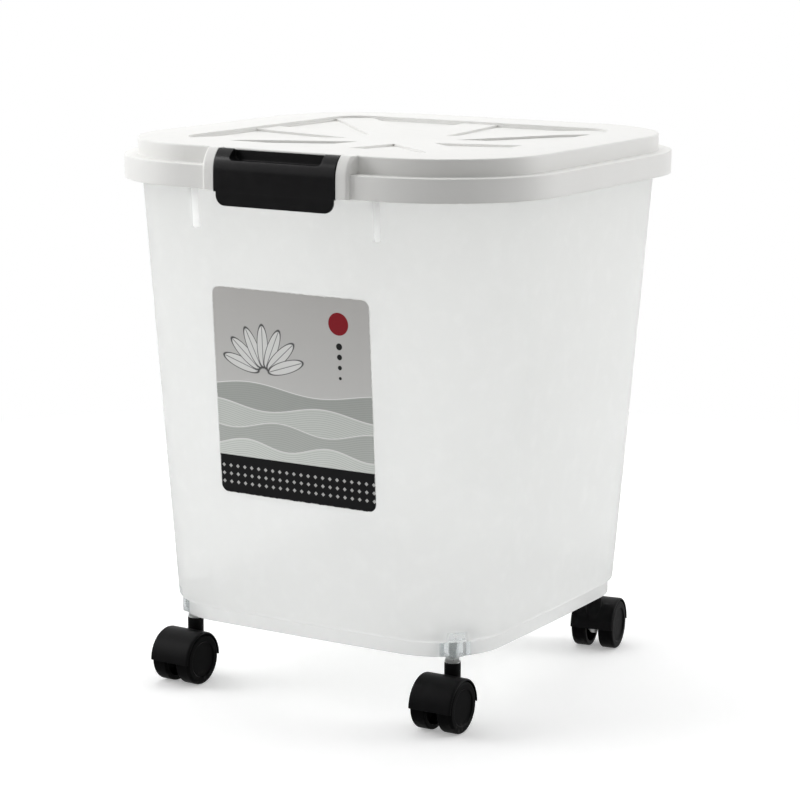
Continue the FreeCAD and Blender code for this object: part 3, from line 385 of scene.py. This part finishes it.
def turned_rod(name, profile, sides):
    """A rod on the Z axis. Each step of its profile is a radius and a height, from the foot up."""
    radius, height = profile[0]
    bpy.ops.object.select_all(action="DESELECT")
    bpy.ops.mesh.primitive_circle_add(
        vertices=sides,
        radius=radius * MILLIMETRE,
        fill_type="NGON",
        location=(0, 0, height * MILLIMETRE),
    )
    piece = bpy.context.object
    piece.name = name
    bpy.ops.object.transform_apply(location=True, rotation=True, scale=True)
    bpy.ops.object.mode_set(mode="EDIT")
    bpy.ops.mesh.select_all(action="SELECT")
    for next_radius, next_height in profile[1:]:
        rise = (0, 0, (next_height - height) * MILLIMETRE)
        share = next_radius / radius
        bpy.ops.mesh.extrude_region_move(TRANSFORM_OT_translate={"value": rise})
        bpy.ops.transform.resize(value=(share, share, 1), center_override=(0, 0, 0))
        radius, height = next_radius, next_height
    bpy.ops.mesh.select_all(action="SELECT")
    bpy.ops.mesh.normals_make_consistent(inside=False)
    bpy.ops.object.mode_set(mode="OBJECT")
    return piece


thread_rings = int((stem_high - stem_chamfer - thread_foot) / thread_pitch * rings_per_pitch)
ring_rise = thread_pitch / rings_per_pitch
thread_steps = [(thread_crest, thread_foot + ring_rise * ring) for ring in range(1, thread_rings)]
stem_model = turned_rod(
    "stem_model",
    [
        (pin_radius - stem_chamfer, stem_low),
        (pin_radius, stem_low + stem_chamfer),
        (pin_radius, ring_low - groove_gap),
        (groove_radius, ring_low - groove_gap),
        (groove_radius, ring_high + groove_gap),
        (pin_radius, ring_high + groove_gap),
        (pin_radius, thread_foot),
        *thread_steps,
        (thread_crest - stem_chamfer, stem_high),
    ],
    stem_sides,
)
for vertex in stem_model.data.vertices:
    height = vertex.co.z / MILLIMETRE
    if thread_foot < height < stem_high - stem_chamfer / 2:
        angle = math.atan2(vertex.co.y, vertex.co.x) / (2 * math.pi)
        phase = (height / thread_pitch - angle) % 1
        radius = thread_root + (thread_crest - thread_root) * abs(2 * phase - 1)
        vertex.co.xy = vertex.co.xy.normalized() * (radius * MILLIMETRE)
bpy.ops.object.select_all(action="DESELECT")
bpy.ops.mesh.primitive_cylinder_add(
    vertices=6,
    radius=hexagon_width / math.sqrt(3) * MILLIMETRE,
    depth=hexagon_height * MILLIMETRE,
    location=(0, 0, (hexagon_foot + hexagon_height / 2) * MILLIMETRE),
    rotation=(0, 0, hexagon_turn),
)
bpy.ops.object.transform_apply(location=True, rotation=True, scale=True)
bpy.ops.object.mode_set(mode="EDIT")
bpy.ops.mesh.select_all(action="SELECT")
bpy.ops.mesh.bevel(offset=hexagon_edge * MILLIMETRE, segments=2)
bpy.ops.object.mode_set(mode="OBJECT")
stem_model.select_set(True)
bpy.context.view_layer.objects.active = stem_model
bpy.ops.object.join()
bpy.ops.object.shade_smooth_by_angle(angle=stem_smooth_angle)
stem_model.data.materials.append(zinc_finish)

# Lock washers: thin rings stamped from spring steel between each hexagon and the collar under it.
# Teeth around the rim are bent up, so that the stem can't turn loose.

washer_outer = 6.1
washer_inner = 3.3
washer_thickness = 0.22
washer_points = 30
tooth_every = 3
tooth_height = 1.9
outermost_share = 0.99
bpy.ops.object.select_all(action="DESELECT")
bpy.ops.mesh.primitive_circle_add(
    vertices=washer_points,
    radius=washer_outer * MILLIMETRE,
    location=(0, 0, (housing_top + hexagon_foot) / 2 * MILLIMETRE),
)
washer_model = bpy.context.object
washer_model.name = "washer_model"
bpy.ops.object.transform_apply(location=True, rotation=True, scale=True)
bpy.context.tool_settings.mesh_select_mode = (False, True, False)
bpy.ops.object.mode_set(mode="EDIT")
bpy.ops.mesh.select_all(action="SELECT")
bpy.ops.mesh.extrude_edges_move(TRANSFORM_OT_translate={"value": (0, 0, 0)})
washer_share = washer_inner / washer_outer
bpy.ops.transform.resize(value=(washer_share, washer_share, 1), center_override=(0, 0, 0))
bpy.ops.mesh.select_all(action="DESELECT")
bpy.ops.object.mode_set(mode="OBJECT")
washer_mesh = washer_model.data
for edge in washer_mesh.edges:
    ends = [washer_mesh.vertices[index].co for index in edge.vertices]
    turn = math.atan2(ends[0].y + ends[1].y, ends[0].x + ends[1].x) / (2 * math.pi)
    outermost = min(end.xy.length for end in ends) > outermost_share * washer_outer * MILLIMETRE
    edge.select = outermost and math.floor(turn * washer_points) % tooth_every == 0
bpy.ops.object.mode_set(mode="EDIT")
bpy.ops.mesh.extrude_edges_move(TRANSFORM_OT_translate={"value": (0, 0, tooth_height * MILLIMETRE)})
bpy.ops.mesh.merge(type="COLLAPSE")
bpy.ops.mesh.select_all(action="SELECT")
bpy.ops.mesh.normals_make_consistent(inside=False)
bpy.ops.object.mode_set(mode="OBJECT")
washer_wall = washer_model.modifiers.new("sheet", "SOLIDIFY")
washer_wall.thickness = washer_thickness * MILLIMETRE
washer_wall.offset = 0.0
bpy.ops.object.modifier_apply(modifier="sheet")
washer_mesh.materials.append(zinc_finish)


def set_out(model, name, corner):
    """A copy of a piece modelled on the Z axis, set on a caster's stem."""
    piece = model.copy()
    piece.name = name
    piece.data = model.data.copy()
    piece.data.name = name
    low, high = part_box(f"caster_{corner}_stem")
    piece.data.transform(Matrix.Translation(((low[0] + high[0]) / 2, (low[1] + high[1]) / 2, 0)))
    bpy.context.scene.collection.objects.link(piece)
    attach(piece, "tub")
    return piece


for corner in CORNERS:
    threaded_stem = set_out(stem_model, f"caster_{corner}_threaded_stem", corner)
    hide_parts(f"caster_{corner}_stem")
    set_out(washer_model, f"caster_{corner}_lock_washer", corner)
bpy.data.objects.remove(stem_model)
bpy.data.objects.remove(washer_model)

# Casters: hoods and cupped wheels moulded in black nylon, with a fine eroded grain on the hoods.
# The wheels turn on a zinc plated axle that is pressed through the hood's web.
# They are rubbed dull by the floor, and dust sits low on them.

edge_samples = 6


def rounded_normal(place, radius):
    """Normal of a surface whose edges are broken by a small radius, as every moulded edge is."""
    return place.node("ShaderNodeBevel", {"samples": edge_samples}, {"Radius": radius})


def edge_share(place, radius, gain):
    """1 along edges and 0 on open surfaces."""
    soft = rounded_normal(place, radius)
    plain = place.node("ShaderNodeNewGeometry", output="Normal")
    facing = place.node("ShaderNodeVectorMath", {"operation": "DOT_PRODUCT"}, {0: soft, 1: plain}, "Value")
    return stepped((1 - facing) * gain, 0.0, 1.0)


caster_edge = 0.6 * MILLIMETRE
caster_worn_edge = 0.7 * MILLIMETRE
caster_edge_gain = 5.0
nylon_cloud_scale = 130.0
nylon_grain_scale = 2400.0
nylon_dark = (0.004, 0.004, 0.0043, 1)
nylon_pale = (0.0075, 0.0075, 0.008, 1)
nylon_worn = (0.03, 0.03, 0.031, 1)
nylon_worn_share = 0.4
nylon_relief = 0.06 * MILLIMETRE
nylon_relief_strength = 0.3
nylon_roughness = 0.34
nylon_cloud_roughness = 0.12
nylon_grain_roughness = 0.06
nylon_finish, nylon_shader, nylon_place = begin_finish("black_nylon")
nylon_grain = noise(nylon_place, nylon_grain_scale, grain_detail)
nylon_cloud = noise(nylon_place, nylon_cloud_scale)
nylon_edge = edge_share(nylon_place, caster_worn_edge, caster_edge_gain)
nylon_colour = mixed(nylon_cloud, nylon_dark, nylon_pale)
nylon_base = rounded_normal(nylon_place, caster_edge)
nylon_dulled = nylon_cloud_roughness * nylon_cloud + nylon_grain_roughness * nylon_grain
feed(nylon_shader, "Base Color", mixed(nylon_worn_share * nylon_edge, nylon_colour, nylon_worn))
feed(nylon_shader, "Roughness", nylon_roughness + nylon_dulled)
bumped(nylon_shader, nylon_grain, nylon_relief, nylon_relief_strength, nylon_base)
nylon_shader.inputs["Specular IOR Level"].default_value = 0.07

wheel_cloud_scale = 240.0
wheel_cloud_detail = 5.0
wheel_grain_scale = 2400.0
wheel_dark = (0.002, 0.002, 0.0022, 1)
wheel_pale = (0.0045, 0.0045, 0.0048, 1)
wheel_worn = (0.035, 0.035, 0.036, 1)
wheel_worn_share = 0.4
dust_colour = (0.16, 0.155, 0.145, 1)
dust_height = 12 * MILLIMETRE
dust_limits = (0.52, 0.7)
dust_share = 0.3
wheel_relief = 0.05 * MILLIMETRE
wheel_relief_strength = 0.25
wheel_roughness = 0.3
wheel_cloud_roughness = 0.2
wheel_dust_roughness = 0.25
wheel_finish, wheel_shader, wheel_place = begin_finish("worn_nylon")
wheel_cloud = noise(wheel_place, wheel_cloud_scale, wheel_cloud_detail)
wheel_grain = noise(wheel_place, wheel_grain_scale, grain_detail)
wheel_low = stepped(on_axis(wheel_place, 2), dust_height, 0.0)
wheel_dust = stepped(wheel_cloud, *dust_limits) * wheel_low
wheel_edge = edge_share(wheel_place, caster_worn_edge, caster_edge_gain)
wheel_colour = mixed(wheel_cloud, wheel_dark, wheel_pale)
wheel_colour = mixed(wheel_worn_share * wheel_edge, wheel_colour, wheel_worn)
wheel_base = rounded_normal(wheel_place, caster_edge)
wheel_dulled = wheel_cloud_roughness * wheel_cloud + wheel_dust_roughness * wheel_dust
feed(wheel_shader, "Base Color", mixed(dust_share * wheel_dust, wheel_colour, dust_colour))
feed(wheel_shader, "Roughness", wheel_roughness + wheel_dulled)
bumped(wheel_shader, wheel_grain, wheel_relief, wheel_relief_strength, wheel_base)
wheel_shader.inputs["Specular IOR Level"].default_value = 0.04

for corner in CORNERS:
    caster = f"caster_{corner}"
    dress(nylon_finish, f"{caster}_housing")
    dress(wheel_finish, f"{caster}_wheel_left", f"{caster}_wheel_right")
    dress(zinc_finish, f"{caster}_stem", f"{caster}_ring", f"{caster}_axle")

# Lid: one moulding of opaque white polypropylene, satin above and below, with a star of bars in its top.
# It hangs on the hinge pins by two knuckles, and two bosses on its front edge carry the latch.

lid_flow_scale = 12.0
lid_grain_scale = 1900.0
lid_rub_scale = 70.0
lid_rub_limits = (0.55, 0.75)
lid_dim = (0.80, 0.797, 0.775, 1)
lid_bright = (0.84, 0.837, 0.82, 1)
lid_worn = (0.88, 0.88, 0.87, 1)
lid_worn_share = 0.5
lid_edge_radius = 0.7 * MILLIMETRE
lid_worn_edge = 0.9 * MILLIMETRE
lid_edge_gain = 4.0
lid_relief = 0.08 * MILLIMETRE
lid_relief_strength = 0.14
lid_roughness = 0.36
lid_flow_roughness = 0.06
lid_rub_roughness = 0.12
lid_finish, lid_shader, lid_place = begin_finish("white_polypropylene")
lid_flow = noise(lid_place, lid_flow_scale)
lid_grain = noise(lid_place, lid_grain_scale, grain_detail)
lid_rubs = stepped(noise(lid_place, lid_rub_scale, rub_detail), *lid_rub_limits)
lid_edge = edge_share(lid_place, lid_worn_edge, lid_edge_gain)
lid_colour = mixed(lid_flow, lid_dim, lid_bright)
lid_base = rounded_normal(lid_place, lid_edge_radius)
lid_dulled = lid_flow_roughness * lid_flow + lid_rub_roughness * lid_rubs
feed(lid_shader, "Base Color", mixed(lid_worn_share * lid_edge, lid_colour, lid_worn))
feed(lid_shader, "Roughness", lid_roughness + lid_dulled)
bumped(lid_shader, lid_grain, lid_relief, lid_relief_strength, lid_base)
dress(lid_finish, "lid")

# Seal: a soft ring of grey silicone pressed into the lid under its ledge, which closes on the tub's rim.
# It is dull and a little mottled by handling.

seal_cloud_scale = 90.0
seal_grain_scale = 1200.0
seal_dark = (0.5, 0.51, 0.5, 1)
seal_pale = (0.6, 0.6, 0.59, 1)
seal_relief = 0.06 * MILLIMETRE
seal_relief_strength = 0.2
seal_roughness = 0.55
seal_cloud_roughness = 0.15
seal_finish, seal_shader, seal_place = begin_finish("grey_silicone")
seal_cloud = noise(seal_place, seal_cloud_scale, cloud_detail)
seal_grain = noise(seal_place, seal_grain_scale, grain_detail)
feed(seal_shader, "Base Color", mixed(seal_cloud, seal_dark, seal_pale))
feed(seal_shader, "Roughness", seal_roughness + seal_cloud_roughness * seal_cloud)
bumped(seal_shader, seal_grain, seal_relief, seal_relief_strength)
dress(seal_finish, "lid_seal")

# Latch: a rocker moulded in black polypropylene, snapped between the lid's bosses on two trunnions.
# It has a finger pocket in its shoulder, a fine grain on its face and edges that handling has polished.

latch_cloud_scale = 110.0
latch_grain_scale = 3000.0
latch_dark = (0.0045, 0.0045, 0.005, 1)
latch_pale = (0.008, 0.008, 0.0085, 1)
latch_worn = (0.03, 0.03, 0.03, 1)
latch_worn_share = 0.3
latch_edge_radius = 0.7 * MILLIMETRE
latch_worn_edge = 0.8 * MILLIMETRE
latch_edge_gain = 5.0
latch_relief = 0.05 * MILLIMETRE
latch_relief_strength = 0.2
latch_roughness = 0.17
latch_cloud_roughness = 0.08
latch_edge_polish = 0.04
latch_finish, latch_shader, latch_place = begin_finish("black_polypropylene")
latch_grain = noise(latch_place, latch_grain_scale, grain_detail)
latch_cloud = noise(latch_place, latch_cloud_scale, cloud_detail)
latch_edge = edge_share(latch_place, latch_worn_edge, latch_edge_gain)
latch_colour = mixed(latch_cloud, latch_dark, latch_pale)
latch_base = rounded_normal(latch_place, latch_edge_radius)
latch_dulled = latch_cloud_roughness * latch_cloud - latch_edge_polish * latch_edge
feed(latch_shader, "Base Color", mixed(latch_worn_share * latch_edge, latch_colour, latch_worn))
feed(latch_shader, "Roughness", latch_roughness + latch_dulled)
bumped(latch_shader, latch_grain, latch_relief, latch_relief_strength, latch_base)
latch_shader.inputs["Specular IOR Level"].default_value = 0.4
dress(latch_finish, "latch")

# Studio: a white floor that runs to the horizon under an even sky, with soft lamps left, right and above.
# The floor and the sky look white to the camera and through the tub, and light the object at a plain level.
# Reflections find the white behind the object, and a darker room in front of it.

sky_level = 0.34
front_level = 0.15
sky_front, sky_back = -0.4, 0.6
floor_front, floor_back = -0.5, 1.0
floor_lift = 0.3
floor_size = 80.0
floor_tone = (0.9, 0.9, 0.9, 1)
floor_roughness = 0.9
shadow_reach = 0.55
white_reach = 1.1
camera_azimuth = math.radians(30.84)
backdrop_way = (-math.sin(camera_azimuth), math.cos(camera_azimuth), 0)


def ray_share(tone, kind):
    """1 for rays of one kind."""
    return tone.node("ShaderNodeLightPath", output=f"Is {kind} Ray")


def seen_beyond(tone):
    """1 for what shows in a reflection or through a clear piece."""
    return tone.maths("MAXIMUM", ray_share(tone, "Glossy"), ray_share(tone, "Transmission"))


def reflected_level(tone, place, front, back):
    """1, but for rays sent back by a glossy surface less towards the front, where the studio is dark."""
    dot = {"operation": "DOT_PRODUCT"}
    along = tone.node("ShaderNodeVectorMath", dot, {0: place, 1: backdrop_way}, "Value")
    reflected = ray_share(tone, "Glossy") * (1 - ray_share(tone, "Transmission"))
    return 1 - (1 - front_level) * reflected * (1 - stepped(along, front, back))


bpy.ops.object.select_all(action="DESELECT")
bpy.ops.mesh.primitive_plane_add(size=floor_size)
floor = bpy.context.object
floor.name = "studio_floor"
floor_finish, floor_shader, floor_place = begin_finish("studio_white")
floor_shader.inputs["Base Color"].default_value = floor_tone
floor_shader.inputs["Roughness"].default_value = floor_roughness
floor_seen = ray_share(floor_place, "Camera")
floor_away = floor_place.node("ShaderNodeVectorMath", {"operation": "LENGTH"}, {0: floor_place}, "Value")
floor_horizon = stepped(floor_away, shadow_reach, white_reach) * floor_seen
floor_white = floor_place.maths("MAXIMUM", floor_horizon, seen_beyond(floor_place))
floor_level = reflected_level(floor_place, floor_place, floor_front, floor_back)
floor_lit = Tone(floor_place.tree, floor_shader.outputs[0])
floor_glow = floor_place.node("ShaderNodeEmission", inputs={"Strength": floor_lift * floor_seen})
floor_near = floor_place.node("ShaderNodeAddShader", inputs={0: floor_lit, 1: floor_glow})
floor_far = floor_place.node("ShaderNodeEmission", inputs={"Strength": floor_level})
floor_look = floor_place.node("ShaderNodeMixShader", inputs={0: floor_white, 1: floor_near, 2: floor_far})
feed(floor_finish.node_tree.nodes["Material Output"], "Surface", floor_look)
floor.data.materials.append(floor_finish)

world = bpy.data.worlds.new("studio")
bpy.context.scene.world = world
world.use_nodes = True
sky = world.node_tree.nodes["Background"]
sky.inputs["Color"].default_value = (1, 1, 1, 1)
sky_tone = Tone(world.node_tree)
sky_seen = sky_tone.maths("MAXIMUM", ray_share(sky_tone, "Camera"), seen_beyond(sky_tone))
sky_way = sky_tone.node("ShaderNodeTexCoord", output="Generated")
sky_share = sky_seen * reflected_level(sky_tone, sky_way, sky_front, sky_back)
feed(sky, "Strength", sky_level + (1 - sky_level) * sky_share)

LAMPS = {
    "left_softbox": ((-1.3, -0.7, 0.9), 1.1, 13.0),
    "right_softbox": ((1.5, 1.2, 0.8), 1.1, 13.0),
    "top_softbox": ((-0.3, 0.4, 2.1), 1.5, 20.5),
}
lamp_target = Vector((0, 0, 0.22))
for lamp_name, (lamp_place, lamp_size, lamp_power) in LAMPS.items():
    lamp = bpy.data.lights.new(lamp_name, "AREA")
    lamp.shape = "SQUARE"
    lamp.size = lamp_size
    lamp.energy = lamp_power
    lamp_object = bpy.data.objects.new(lamp_name, lamp)
    lamp_object.location = lamp_place
    lamp_way = lamp_target - Vector(lamp_place)
    lamp_object.rotation_euler = lamp_way.to_track_quat("-Z", "Y").to_euler()
    bpy.context.scene.collection.objects.link(lamp_object)

# Camera: the photo's own viewpoint, a long lens a little above and to the right of the front
camera_drop = 10.93
camera_pitch = math.radians(90 - camera_drop)
camera_roll = math.radians(0.39)
camera_place = Vector((1.0483, -1.7559, 0.6133))
camera_data = bpy.data.cameras.new("camera")
camera_data.lens = 117.03
camera_data.sensor_width = 36
camera = bpy.data.objects.new("camera", camera_data)
bpy.context.scene.collection.objects.link(camera)
camera_turn = Matrix.Rotation(camera_azimuth, 4, "Z") @ Matrix.Rotation(camera_pitch, 4, "X")
camera_turn = camera_turn @ Matrix.Rotation(camera_roll, 4, "Z")
camera.matrix_world = Matrix.Translation(camera_place) @ camera_turn
bpy.context.scene.camera = camera
bpy.context.scene.view_settings.view_transform = "Standard"
